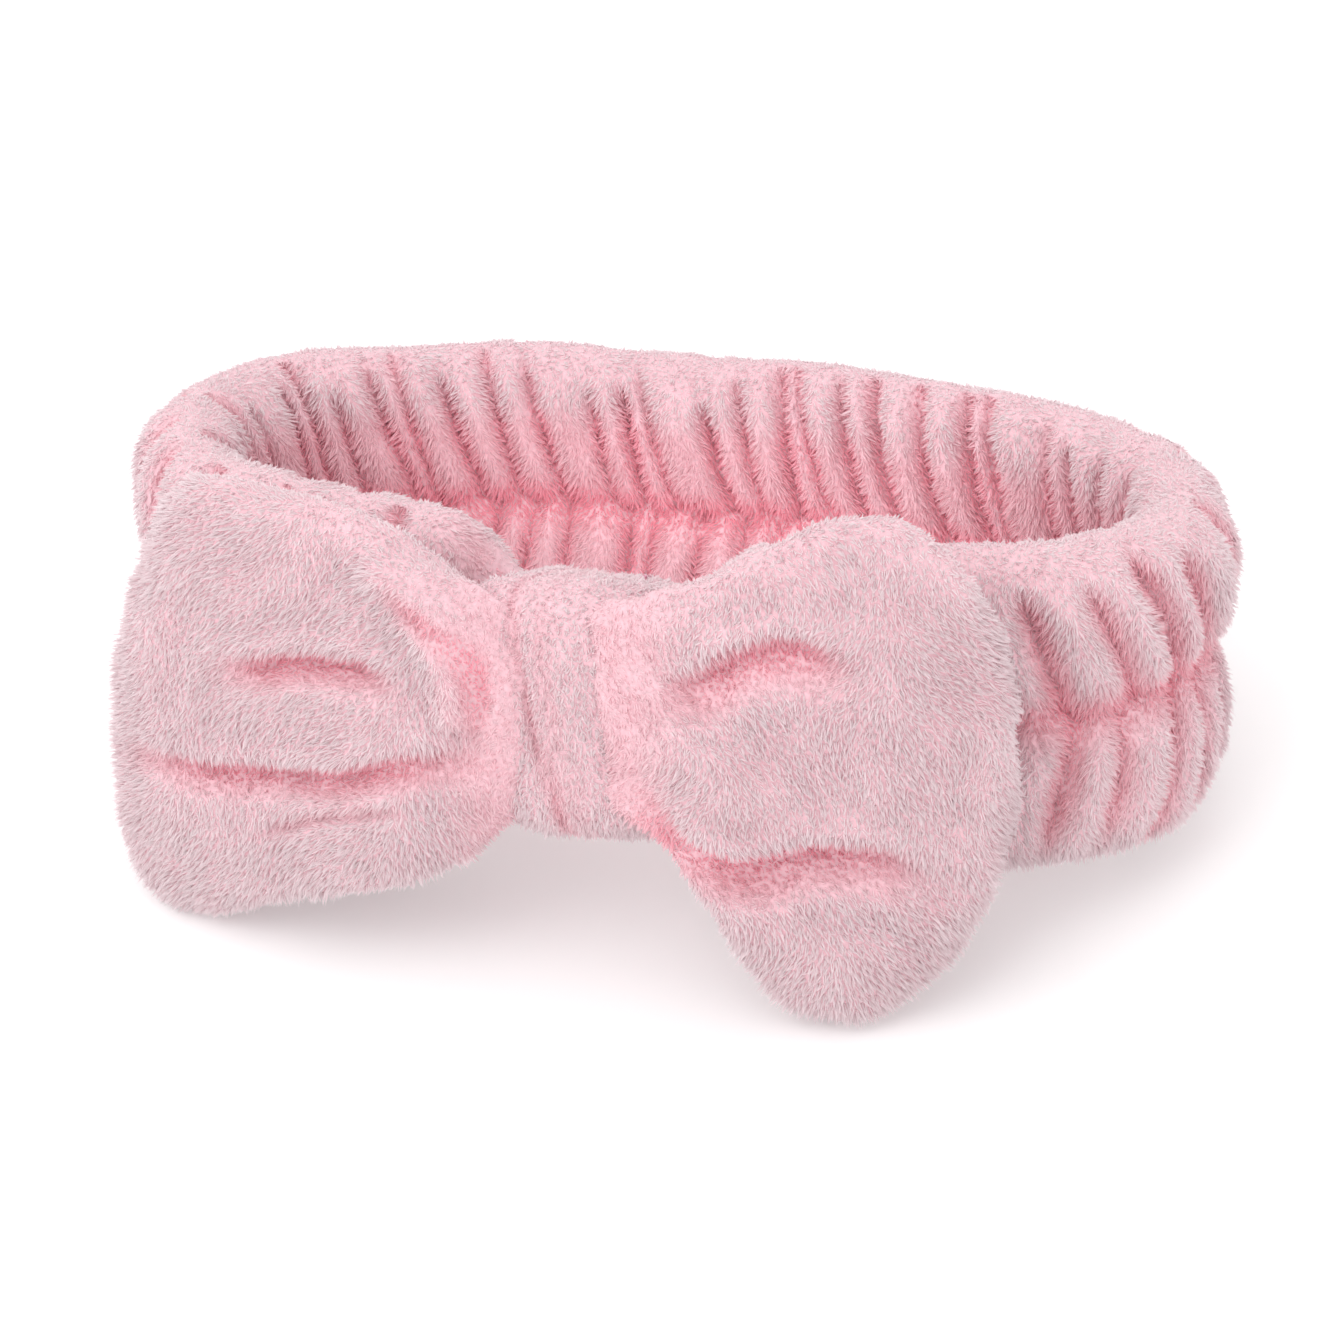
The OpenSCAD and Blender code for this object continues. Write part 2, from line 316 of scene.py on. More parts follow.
def pileTree():
    # the cloth says where strands are dense, long and painted with shade, and which way they lie, by its
    # own attributes
    tree = bpy.data.node_groups.new("plushPileTree", "GeometryNodeTree")
    face = tree.interface
    face.new_socket("Geometry", in_out="OUTPUT", socket_type="NodeSocketGeometry")
    face.new_socket("Geometry", in_out="INPUT", socket_type="NodeSocketGeometry")
    for name in ("Density", "Length", "Width", "Lean", "Clump", "Clump Size"):
        face.new_socket(name, in_out="INPUT", socket_type="NodeSocketFloat")
    face.new_socket("Seed", in_out="INPUT", socket_type="NodeSocketInt")
    face.new_socket("Material", in_out="INPUT", socket_type="NodeSocketMaterial")
    nodes, links = tree.nodes, tree.links
    given = nodes.new("NodeGroupInput")
    result = nodes.new("NodeGroupOutput")

    def named(kind, name):
        n = nodes.new("GeometryNodeInputNamedAttribute")
        n.data_type = kind
        n.inputs["Name"].default_value = name
        return n.outputs["Attribute"]

    def maths(operation, a, b=None):
        n = nodes.new("ShaderNodeMath")
        n.operation = operation
        for k, value in enumerate((a, b)):
            if value is None:
                continue
            if isinstance(value, (int, float)):
                n.inputs[k].default_value = value
            else:
                links.new(value, n.inputs[k])
        return n.outputs[0]

    def vectors(operation, a, b=None, scale=None):
        n = nodes.new("ShaderNodeVectorMath")
        n.operation = operation
        links.new(a, n.inputs[0])
        if isinstance(b, tuple):
            n.inputs[1].default_value = b
        elif b is not None:
            links.new(b, n.inputs[1])
        if scale is not None:
            links.new(scale, n.inputs["Scale"])
        return n.outputs["Value"] if operation == "LENGTH" else n.outputs["Vector"]

    scatter = nodes.new("GeometryNodeDistributePointsOnFaces")
    scatter.distribute_method = "RANDOM"
    links.new(given.outputs["Geometry"], scatter.inputs["Mesh"])
    density = maths("MULTIPLY", given.outputs["Density"], named("FLOAT", "pileDensity"))
    links.new(density, scatter.inputs["Density"])
    links.new(given.outputs["Seed"], scatter.inputs["Seed"])

    spot = nodes.new("GeometryNodeInputPosition").outputs["Position"]
    cell = nodes.new("ShaderNodeTexVoronoi")
    cell.inputs["Randomness"].default_value = 1.0
    links.new(spot, cell.inputs["Vector"])
    links.new(maths("DIVIDE", 1.0, given.outputs["Clump Size"]), cell.inputs["Scale"])
    toCentre = vectors("SUBTRACT", cell.outputs["Position"], spot)

    wild = nodes.new("FunctionNodeRandomValue")
    wild.data_type = "FLOAT_VECTOR"
    wild.inputs["Min"].default_value = (-1, -1, -1)
    wild.inputs["Max"].default_value = (1, 1, 1)
    links.new(given.outputs["Seed"], wild.inputs["Seed"])
    swirl = nodes.new("ShaderNodeTexNoise")
    swirl.inputs["Scale"].default_value = pile["swirlScale"]
    swirl.inputs["Detail"].default_value = 1
    links.new(spot, swirl.inputs["Vector"])
    swirled = vectors("SUBTRACT", swirl.outputs["Color"], (0.5, 0.5, 0.5))

    size = nodes.new("FunctionNodeRandomValue")
    size.data_type = "FLOAT"
    size.inputs[2].default_value = pile["shortest"]
    size.inputs[3].default_value = pile["longest"]
    links.new(given.outputs["Seed"], size.inputs["Seed"])
    usual = maths("MULTIPLY", given.outputs["Length"], named("FLOAT", "pileLength"))
    length = maths("MULTIPLY", usual, size.outputs[1])

    away = vectors("SCALE", scatter.outputs["Normal"], scale=maths("MULTIPLY", length, pile["rise"]))
    lying = maths("MULTIPLY", length, given.outputs["Lean"])
    side = vectors("SCALE", named("FLOAT_VECTOR", "pileFlow"), scale=lying)
    turn = vectors("SCALE", swirled, scale=maths("MULTIPLY", length, pile["swirl"]))
    loose = vectors("SCALE", wild.outputs[0], scale=maths("MULTIPLY", length, pile["loose"]))
    gather = vectors("SCALE", toCentre, scale=given.outputs["Clump"])
    reach = vectors("ADD", vectors("ADD", away, side), vectors("ADD", turn, vectors("ADD", loose, gather)))

    strand = nodes.new("GeometryNodeMeshCone")
    strand.fill_type = "NONE"
    strand.inputs["Vertices"].default_value = 3
    strand.inputs["Side Segments"].default_value = 1
    strand.inputs["Radius Top"].default_value = 0.0
    strand.inputs["Radius Bottom"].default_value = 0.5
    strand.inputs["Depth"].default_value = 1.0
    height = nodes.new("ShaderNodeSeparateXYZ")
    links.new(nodes.new("GeometryNodeInputPosition").outputs["Position"], height.inputs[0])
    mark = nodes.new("GeometryNodeStoreNamedAttribute")
    mark.data_type = "FLOAT"
    mark.domain = "POINT"
    mark.inputs["Name"].default_value = "pileTip"
    links.new(strand.outputs["Mesh"], mark.inputs["Geometry"])
    links.new(height.outputs["Z"], mark.inputs["Value"])

    aim = nodes.new("FunctionNodeAlignRotationToVector")
    aim.axis = "Z"
    spin = nodes.new("ShaderNodeCombineXYZ")
    angle = nodes.new("FunctionNodeRandomValue")
    angle.data_type = "FLOAT"
    angle.inputs[2].default_value = 0.0
    angle.inputs[3].default_value = 2 * math.pi
    links.new(angle.outputs[1], spin.inputs["Z"])
    links.new(spin.outputs[0], aim.inputs["Rotation"])
    links.new(reach, aim.inputs["Vector"])
    shape = nodes.new("ShaderNodeCombineXYZ")
    links.new(given.outputs["Width"], shape.inputs["X"])
    links.new(given.outputs["Width"], shape.inputs["Y"])
    links.new(vectors("LENGTH", reach), shape.inputs["Z"])

    plant = nodes.new("GeometryNodeInstanceOnPoints")
    links.new(scatter.outputs["Points"], plant.inputs["Points"])
    links.new(mark.outputs["Geometry"], plant.inputs["Instance"])
    links.new(aim.outputs[0], plant.inputs["Rotation"])
    links.new(shape.outputs[0], plant.inputs["Scale"])
    shade = nodes.new("FunctionNodeRandomValue")
    shade.data_type = "FLOAT"
    shade.inputs["Seed"].default_value = pile["tintSeed"]
    tint = nodes.new("GeometryNodeStoreNamedAttribute")
    tint.data_type = "FLOAT"
    tint.domain = "INSTANCE"
    tint.inputs["Name"].default_value = "pileTint"
    links.new(plant.outputs["Instances"], tint.inputs["Geometry"])
    links.new(shade.outputs[1], tint.inputs["Value"])
    real = nodes.new("GeometryNodeRealizeInstances")
    links.new(tint.outputs["Geometry"], real.inputs["Geometry"])
    paint = nodes.new("GeometryNodeSetMaterial")
    links.new(real.outputs["Geometry"], paint.inputs["Geometry"])
    links.new(given.outputs["Material"], paint.inputs["Material"])
    links.new(paint.outputs["Geometry"], result.inputs["Geometry"])
    return tree


strandTree = pileTree()


def readFloats(mesh, name):
    values = np.empty(len(mesh.vertices), np.float32)
    mesh.attributes[name].data.foreach_get("value", values)
    return values


shading = {
    "root": 0.15, "along": 0.65, "tint": 0.12, "spread": 0.002,
    "tufts": 0.07, "tuftSize": 1.7, "tuftSeed": 40,
    "patches": 0.05, "patchSize": 5, "patchSeed": 41,
}


def shadePile(ob, seed):
    # each strand's shade from root to tip, with pale and dark patches, and a map laid out by colour
    mesh = ob.data
    tip, tint, deep = (readFloats(mesh, name) for name in ("pileTip", "pileTint", "pilePaintedShade"))
    spots = readPoints(ob) / mm
    patches = shading["tufts"] * lumps(spots, shading["tuftSize"], shading["tuftSeed"])
    patches += shading["patches"] * lumps(spots, shading["patchSize"], shading["patchSeed"])
    shade = np.clip(shading["root"] + shading["along"] * tip + shading["tint"] * tint + patches, 0, 1)
    for name in ("pileTip", "pileTint"):
        mesh.attributes.remove(mesh.attributes[name])
    addFloats(ob, "pileShade", shade)
    corner = np.empty(len(mesh.loops), np.int32)
    mesh.loops.foreach_get("vertex_index", corner)
    spread = np.random.default_rng(seed).uniform(-shading["spread"], shading["spread"], len(mesh.vertices))
    flat = np.stack([0.05 + 0.2 * deep + spread, 0.05 + 0.25 * shade], 1)[corner]
    mesh.uv_layers.new(name="OFBake").uv.foreach_set("vector", flat.astype(np.float32).ravel())


def cutBed(cloth, name, faces):
    # a copy of the cloth with only the faces asked for
    bed = bpy.data.objects.new(name + "Bed", cloth.data.copy())
    bpy.context.scene.collection.objects.link(bed)
    bm = bmesh.new()
    bm.from_mesh(bed.data)
    bm.faces.ensure_lookup_table()
    bmesh.ops.delete(bm, geom=[f for f, on in zip(bm.faces, faces) if not on], context="FACES")
    bm.to_mesh(bed.data)
    bm.free()
    return bed


def growPile(cloth, name, material, faces=None, seed=0):
    # plants strands on the cloth, or on some of its faces, and returns them as one plain mesh
    bed = cloth if faces is None else cutBed(cloth, name, faces)
    grow = bed.modifiers.new("pile", "NODES")
    grow.node_group = strandTree
    settings = {
        "Density": pile["perSquareMm"] / mm**2, "Length": pile["length"] * mm, "Width": pile["width"] * mm,
        "Lean": pile["lean"], "Clump": pile["clump"], "Clump Size": pile["clumpSize"] * mm,
        "Seed": pile["seed"] + seed, "Material": material,
    }
    for item in strandTree.interface.items_tree:
        if item.in_out == "INPUT" and item.name in settings:
            grow[item.identifier] = settings[item.name]
    bpy.context.view_layer.update()
    shown = bed.evaluated_get(bpy.context.evaluated_depsgraph_get())
    mesh = bpy.data.meshes.new_from_object(shown)
    mesh.name = name
    ob = bpy.data.objects.new(name, mesh)
    bpy.context.scene.collection.objects.link(ob)
    restOnFloor(ob, floorRest["pile"], floorRest["ease"])
    shadePile(ob, seed)
    bed.modifiers.remove(grow)
    if bed is not cloth:
        bpy.data.objects.remove(bed)
    print("pile", name, len(mesh.polygons), "faces")
    return ob


# the band
band = {
    "stations": 400, "around": 136, "pileDepth": 1.3,
    "waist": 6.0, "waistHalf": 7, "puffRound": 2.5,  # the waist's half thickness and half height
    "pinchHalf": 13.5, "pinchEase": 17.0, "pinchThick": 8.0,  # squeezed under the knot
    "pinchLow": 15.5, "pinchHigh": 52.0,
    "waistHold": 0.5, "waistFree": 9, "rimEase": 4,  # gathers are shallower at the waist and the rims
    "wave": 0.7, "waveSize": 22, "sway": 0.6, "swaySize": 14,
}


def bandOutline():
    # two puffs joined at a waist, as distance out against height: up the outside, down the inside
    quarter = bandSizes["height"] / 4
    thick = bandSizes["thick"] / 2 - band["pileDepth"]
    turn = np.linspace(0, math.pi, 200)[1:-1]
    z = np.concatenate([quarter - np.cos(turn) * quarter, 3 * quarter - np.cos(turn) * quarter])
    local = np.concatenate([-np.cos(turn), -np.cos(turn)])
    puff = thick * (1 - np.abs(local) ** band["puffRound"]) ** 0.5
    waist = band["waist"] * np.clip(1 - ((z - 2 * quarter) / band["waistHalf"]) ** 2, 0, None) ** 0.5
    out = (puff**5 + waist**5) ** 0.2  # the larger of the two, with a soft join
    z = band["pileDepth"] * 0.4 + z * (1 - 0.8 * band["pileDepth"] / bandSizes["height"])
    loop = np.concatenate([np.stack([out, z], 1), np.stack([-out, z], 1)[::-1]])
    return evenSteps(loop, band["around"], True)


gathers = {
    "upperInner": {"spacing": 8.6, "depth": 4.8, "slant": 0.3, "reach": (28, 37), "seed": 1},
    "upperOuter": {"spacing": 10.6, "depth": 4.9, "slant": -0.36, "reach": (27, 37), "seed": 2},
    "lowerInner": {"spacing": 9.5, "depth": 4.4, "slant": 0.15, "reach": (17, 32), "seed": 3},
    "lowerOuter": {"spacing": 10.4, "depth": 4.8, "slant": -0.2, "reach": (22, 44), "seed": 4},
}


def gatherDepth(s, fromWaist, look):
    # how far the cloth sinks, sharp in a crease and rounded between two, and the way to the crease
    rng = np.random.default_rng(look["seed"])
    count = int(loopLength / look["spacing"])
    creases = (np.arange(count) + rng.uniform(-0.28, 0.28, count)) * loopLength / count
    strong = rng.uniform(0.6, 1.15, count)
    far = rng.uniform(0.7, 1.1, count)
    tilt = look["slant"] + rng.uniform(-0.1, 0.1, count)
    best = np.full(len(s), np.inf)
    toCrease, depth, reach = (np.zeros(len(s)) for _ in range(3))
    for k in range(count):
        gap = (s - creases[k] - tilt[k] * fromWaist + loopLength / 2) % loopLength - loopLength / 2
        apart = np.abs(gap)
        nearer = apart < best
        best = np.where(nearer, apart, best)
        toCrease = np.where(nearer, -np.sign(gap), toCrease)
        depth = np.where(nearer, strong[k], depth)
        reach = np.where(nearer, far[k], reach)
    half = look["spacing"] / 2
    ridge = np.clip(1 - best / half, 0, 1) ** 1.5
    fade = 1 - smooth(look["reach"][0], look["reach"][1], fromWaist / reach)
    least = 0.12  # what is left of a crease past its reach
    return look["depth"] * depth * ridge * (least + (1 - least) * fade), toCrease * fade


# the pile on the band; four of its numbers set how strong the painted shade is inside the loop, at the
# waist, beside the knot and in the creases
bandPlush = {
    "underKnot": 0.35, "shorterAtKnot": 0.45, "uneven": 0.12, "shorterInCrease": 0.35,
    "paintedInsideShade": 0.42, "paintedWaistShade": 0.7, "paintedKnotShade": 0.45, "paintedCreaseShade": 0.7,
    "flowUneven": 0.5, "flowToCrease": 0.35,
}


def partName(upper, outer):
    return ("upper" if upper else "lower") + ("Outer" if outer else "Inner")


def buildBand():
    outline = bandOutline()
    n, m = band["stations"], band["around"]
    s = np.repeat(np.arange(n) * loopLength / n, m)
    out = np.tile(outline[:, 0], n)
    z = np.tile(outline[:, 1], n)
    height = bandSizes["height"]
    fromWaist = np.abs(z - height / 2)
    sink = np.zeros(n * m)
    toCrease = np.zeros(n * m)
    for upper in (True, False):
        for outer in (True, False):
            share = ((z > height / 2) == upper) & ((out > 0) == outer)
            look = gathers[partName(upper, outer)]
            sink[share], toCrease[share] = gatherDepth(s[share], fromWaist[share], look)
    sink *= band["waistHold"] + (1 - band["waistHold"]) * smooth(1, band["waistFree"], fromWaist)
    sink *= smooth(0, band["rimEase"], np.abs(out))
    thin = 1 - sink / np.maximum(np.abs(out), band["rimEase"])
    out = out * np.clip(thin, 0.2, 1)
    nearKnot = np.minimum(s, loopLength - s)
    pinch = 1 - smooth(band["pinchHalf"], band["pinchHalf"] + band["pinchEase"], nearKnot)
    pinchOut = out * band["pinchThick"] / (bandSizes["thick"] / 2)
    pinchZ = band["pinchLow"] + z / height * (band["pinchHigh"] - band["pinchLow"])
    out = out + (pinchOut - out) * pinch
    z = z + (pinchZ - z) * pinch
    x, y, nx, ny = loopFrame(s)
    p = np.stack([x + nx * out, y + ny * out, z], 1)
    p[:, 2] += band["wave"] * lumps(np.stack([x, y, z * 0], 1), band["waveSize"], 11) * (1 - pinch)
    side = band["sway"] * lumps(p, band["swaySize"], 12)
    p[:, 0] += nx * side
    p[:, 1] += ny * side
    ob = makeMesh("bandCloth", place(p), gridFaces(n, m, True, True)[:, ::-1])
    restOnFloor(ob, floorRest["cloth"], floorRest["ease"])
    ob.data.materials.append(plushBacking)
    plush = bandPlush
    addFloats(ob, "pileDensity", np.where(pinch > 0.5, plush["underKnot"], 1.0))  # the knot covers it
    length = 1 - plush["shorterAtKnot"] * pinch - plush["uneven"] * lumps(p, 5, 13)
    addFloats(ob, "pileLength", length - plush["shorterInCrease"] * smooth(1.5, 5, sink))
    # painted shade: a deeper pink in the creases, at the waist, inside the loop and beside the knot
    inner = plush["paintedInsideShade"] * (out < 0) * (1 - smooth(16, 25, fromWaist))
    waistPit = np.exp(-((fromWaist / 4.5) ** 2)) * plush["paintedWaistShade"]
    besideKnot = plush["paintedKnotShade"] * np.exp(-(((nearKnot - 20) / 7) ** 2)) * smooth(-3, 3, out)
    inCrease = smooth(0.3, 3.4, sink) * plush["paintedCreaseShade"]
    addFloats(ob, "pilePaintedShade", np.clip(inCrease + waistPit + inner + besideKnot, 0, 1))
    flow = np.tile(direction((0, 0, -1)), (n * m, 1))
    spread = plush["flowUneven"] * lumps(p, 6, 14) + plush["flowToCrease"] * toCrease
    flow[:, 0] += -ny * spread
    flow[:, 1] += nx * spread
    addVectors(ob, "pileFlow", flow)
    return ob, outline


bandCloth, bandLine = buildBand()
print("band cloth", len(bandCloth.data.polygons))

frontEnd = Vector(place((0, -halfD, bandSizes["height"] / 2)))
backEnd = Vector((frontEnd.x, place((0, halfD, bandSizes["height"] / 2))[1], frontEnd.z))


def stretchy(ob):
    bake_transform(ob)


def growBandPile():
    # one piece for each part of the band, so that each stays a size that exports well
    n, m = band["stations"], band["around"]
    quads = np.arange(n * m)
    row, column = quads // m, quads % m
    upper = bandLine[column, 1] > bandSizes["height"] / 2
    outer = bandLine[column, 0] > 0
    s = row * loopLength / n
    front = (s < loopLength / 4) | (s > loopLength * 3 / 4)
    made = []
    for k, (isUpper, isOuter, isFront) in enumerate(itertools.product((True, False), repeat=3)):
        name = "bandPile_" + partName(isUpper, isOuter) + ("Front" if isFront else "Back")
        faces = (upper == isUpper) & (outer == isOuter) & (front == isFront)
        made.append(growPile(bandCloth, name, plushPile, faces, seed=k))
    return made


bandPiles = growBandPile()

# the bow's wings
# outlines, creases and ridges are (distance from the middle, height) in the band's frame, and
# lie is (distance, y), the way a wing bends back
wings = {
    "right": {
        "outline": [(2, 56), (7, 62.5), (13, 66), (19, 68), (26, 71), (37, 77.5), (49, 82), (60, 81),
                    (69, 74), (76, 62.5), (80, 47), (81, 31), (79.5, 14), (75, -1.5), (65.5, -15),
                    (53.5, -22.5), (41.8, -20), (33.8, -11.3), (25.8, -0.8), (18.8, 8), (12.5, 15.5),
                    (3, 22)],
        "middle": (48, 32),
        "lie": [(2, -68), (20, -68.2), (40, -66.5), (60, -62.5), (72, -57.5), (84, -52)],
        "half": 8.5,
        "sign": 1,
        "seed": 21,
        "creases": [
            {"line": [(19, 46.5), (26, 49.7), (32.4, 54.3), (39.4, 57.2), (46, 57), (54, 53.5)],
             "depth": 4.0, "above": 3.2, "below": 8.5, "lip": 0.9},
            {"line": [(15, 28), (22.6, 17.9), (29, 14.4), (34, 13.4), (39, 14.6), (46, 17.3), (55, 17.4),
                     (61, 15.6), (67, 11.5)],
             "depth": 5.4, "above": 3.2, "below": 9.5, "lip": 1.1},
        ],
        "ridges": [
            {"line": [(67, 74), (73, 63), (76, 52), (77, 40), (77, 28), (75, 12), (68, -4)],
             "height": 0.8, "width": 3},
        ],
    },
    "left": {
        "outline": [(2, 50), (9, 57.5), (15, 62), (21, 65.5), (29, 69.5), (40, 73.5), (60, 75), (78, 73),
                    (86, 63.5), (90.5, 52.5), (96, 37), (99, 13), (98.6, -9.5), (91, -20.5), (79, -21.5),
                    (52, -10.3), (31, -3.2), (17, 6.2), (10, 13.3), (2, 22)],
        "middle": (54, 28),
        "lie": [(2, -68), (20, -68.4), (40, -66), (64, -61.5), (84, -56.5), (99, -52.5)],
        "half": 8.5,
        "sign": -1,
        "seed": 22,
        "creases": [
            {"line": [(68, 38.8), (60, 40.4), (52, 42.4), (44, 43.5), (36, 43.4), (30.5, 41)],
             "depth": 4.2, "above": 3.0, "below": 5.2, "lip": 0.9},
            {"line": [(93, 14), (82, 15), (73, 15.6), (59, 18), (45, 20.3), (35, 24), (25, 27.3),
                     (13, 28.6)],
             "depth": 4.2, "above": 3.0, "below": 5.6, "lip": 0.9},
            {"line": [(33, 63), (25, 55.5), (17.5, 49), (15.5, 41), (16.5, 33)],
             "depth": 2.8, "above": 2.2, "below": 3.0, "lip": 0.0},
            {"line": [(64, 5), (56, 8.5), (47.5, 11.8), (38, 15), (28, 18)],
             "depth": 1.0, "above": 1.6, "below": 2.0, "lip": 0.2},
        ],
        "ridges": [
            {"line": [(38, 68), (28, 60), (21.5, 51), (19.5, 42), (20, 33)],
             "height": 4.0, "width": 3.6},
        ],
    },
}


def roundLine(corners, count, closed):
    # a smooth curve through a few points, as even steps
    c = np.asarray(corners, float)
    k = len(c)
    t = np.linspace(0, k if closed else k - 1, 40 * k, endpoint=not closed)
    i = np.floor(t).astype(int)
    if not closed:
        i = np.minimum(i, k - 2)
    f = (t - i)[:, None]
    pick = (lambda j: c[j % k]) if closed else (lambda j: c[np.clip(j, 0, k - 1)])
    a, b, d, e = pick(i - 1), pick(i), pick(i + 1), pick(i + 2)
    p = 0.5 * (2 * b + (d - a) * f + (2 * a - 5 * b + 4 * d - e) * f**2 + (3 * b - a - 3 * d + e) * f**3)
    return evenSteps(p, count, closed)


def nearestOn(x, z, corners):
    # distance to a line, how far along it the nearest place is, and whether that place is below
    line = roundLine(corners, 80, False)
    gap = np.stack([x, z], 1)[:, None, :] - line[None]
    apart = np.linalg.norm(gap, axis=2)
    near = apart.argmin(1)
    rows = np.arange(len(x))
    return apart[rows, near], near / (len(line) - 1), gap[rows, near, 1] > 0


def creaseFall(x, z, crease):
    # sink of the front near a crease: a rounded lip above the line and a hollow that fills out below it
    dist, along, above = nearestOn(x, z, crease["line"])
    ends = smooth(-0.05, 0.3, along) * (1 - smooth(0.7, 1.05, along))
    upperSide = np.exp(-((dist / crease["above"]) ** 2))
    hollow = np.where(above, upperSide, 1 - smooth(0.6, crease["below"], dist))
    lip = np.where(above, np.exp(-(((dist - 4.5) / 3) ** 2)), 0)
    return ends * (crease["depth"] * hollow - crease["lip"] * lip)


crown = {"rings": 22, "around": 90, "atKnot": 0.66, "round": 3.4}


def buildPillow(name, look):
    # a plain crowned pillow over the wing's outline, thinner beside the knot
    rings, around = crown["rings"], crown["around"]
    outline = roundLine(look["outline"], around, True)
    middle = np.array(look["middle"])
    share = np.sin(np.linspace(0, math.pi / 2, rings + 1))[1:]
    lie = np.asarray(look["lie"], float)
    rows = []
    for face in (-1, 1):
        for r in share if face < 0 else share[:-1]:
            x, z = (middle + (outline - middle) * r).T
            half = look["half"] * (crown["atKnot"] + (1 - crown["atKnot"]) * smooth(8, 34, x))
            y = np.interp(x, lie[:, 0], lie[:, 1]) + face * half * (1 - r ** crown["round"]) ** 0.5
            rows.append(np.stack([x, y, z], 1))
    mid = np.interp(middle[0], lie[:, 0], lie[:, 1])
    rows.append([[middle[0], mid - look["half"], middle[1]], [middle[0], mid + look["half"], middle[1]]])
    p = np.vstack(rows)
    p[:, 0] *= look["sign"]
    backStart = rings * around
    j = np.arange(around)
    after = (j + 1) % around
    lastFront, lastBack = (rings - 1) * around, backStart + (rings - 2) * around
    faces = gridFaces(rings, around, False, True).tolist()
    faces += (gridFaces(rings - 1, around, False, True) + backStart)[:, ::-1].tolist()
    faces += np.stack([lastFront + j, lastFront + after, lastBack + after, lastBack + j], 1).tolist()
    frontCentre, backCentre = len(p) - 2, len(p) - 1
    faces += np.stack([np.full(around, frontCentre), after, j], 1).tolist()
    faces += np.stack([np.full(around, backCentre), backStart + j, backStart + after], 1).tolist()
    ob = makeMesh(name, place(p), faces)
    turnOutward(ob)
    return ob


def turnOutward(ob):
    # every face towards the outside
    bm = bmesh.new()
    bm.from_mesh(ob.data)
    bmesh.ops.recalc_face_normals(bm, faces=bm.faces)
    bm.to_mesh(ob.data)
    bm.free()


def useModifier(ob, name, kind, **settings):
    # adds a modifier with these settings
    modifier = ob.modifiers.new(name, kind)
    for key, value in settings.items():
        setattr(modifier, key, value)
    return modifier


def keepResult(ob, modifier):
    # keeps what the modifier makes as the mesh, and takes the modifier off
    shown = ob.evaluated_get(bpy.context.evaluated_depsgraph_get())
    mesh = bpy.data.meshes.new_from_object(shown)
    ob.modifiers.remove(modifier)
    old = ob.data
    ob.data = mesh
    bpy.data.meshes.remove(old)
    ob.data.shade_smooth()


puffing = {"voxel": 4.0, "pressure": 4.0, "quality": 6, "frames": 20, "most": 3.0, "finer": 2}


def puffUp(ob):
    # blows the pillow up as cloth, so that it swells and puckers by itself, and caps how far it moves
    keepResult(ob, useModifier(ob, "voxels", "REMESH", mode="VOXEL", voxel_size=puffing["voxel"] * mm))
    before = readPoints(ob)
    cloth = ob.modifiers.new("cloth", "CLOTH")
    cloth.settings.use_pressure = True
    cloth.settings.uniform_pressure_force = puffing["pressure"]
    cloth.settings.effector_weights.gravity = 0
    cloth.settings.quality = puffing["quality"]
    cloth.point_cache.frame_start = 1
    cloth.point_cache.frame_end = puffing["frames"]
    for step in range(1, puffing["frames"] + 1):
        bpy.context.scene.frame_set(step)
        bpy.context.view_layer.update()
    after = readPoints(ob.evaluated_get(bpy.context.evaluated_depsgraph_get()))
    ob.modifiers.remove(cloth)
    bpy.context.scene.frame_set(1)
    move = after - before
    length = np.linalg.norm(move, axis=1)[:, None]
    most = puffing["most"] * mm
    setPoints(ob, before + move * np.minimum(1, most / np.maximum(length, 1e-9)))
    print("puffed", ob.name, "moved up to %.1f mm" % (length.max() / mm))
    finer = {"levels": puffing["finer"], "render_levels": puffing["finer"]}
    keepResult(ob, useModifier(ob, "finer", "SUBSURF", **finer))


def buildWing(name, look):
    ob = buildPillow(name, look)
    puffUp(ob)
    p = unplace(readPoints(ob))
    x, z = p[:, 0] * look["sign"], p[:, 2]
    front = smooth(0.05, -0.45, vertexNormals(ob)[:, 1])
    for crease in look["creases"]:
        p[:, 1] += front * creaseFall(x, z, crease)
    for ridge in look["ridges"]:
        dist, along, _ = nearestOn(x, z, ridge["line"])
        ends = smooth(0, 0.15, along) * (1 - smooth(0.85, 1, along))
        p[:, 1] -= front * ends * ridge["height"] * np.exp(-((dist / ridge["width"]) ** 2))
    p[:, 1] += 0.45 * lumps(p, 11, look["seed"]) + 0.2 * lumps(p, 5, look["seed"] + 1)  # soft unevenness
    setPoints(ob, place(p))
    restOnFloor(ob, floorRest["cloth"], floorRest["ease"])
    return ob


wingPlush = {
    "paintedCreaseShade": 0.95, "paintedRootShade": 0.3, "shallow": 3.5,  # painted shade in the creases and at the root beside the knot; a crease less deep than this gets less of it
    "thinRoot": 0.3, "thinBehind": 0.35,
    "shorterRoot": 0.35, "shorterInCrease": 0.4, "uneven": 0.12,
    "outwards": 0.4, "down": -0.8, "swirl": 0.9, "swirlSize": 16,
}


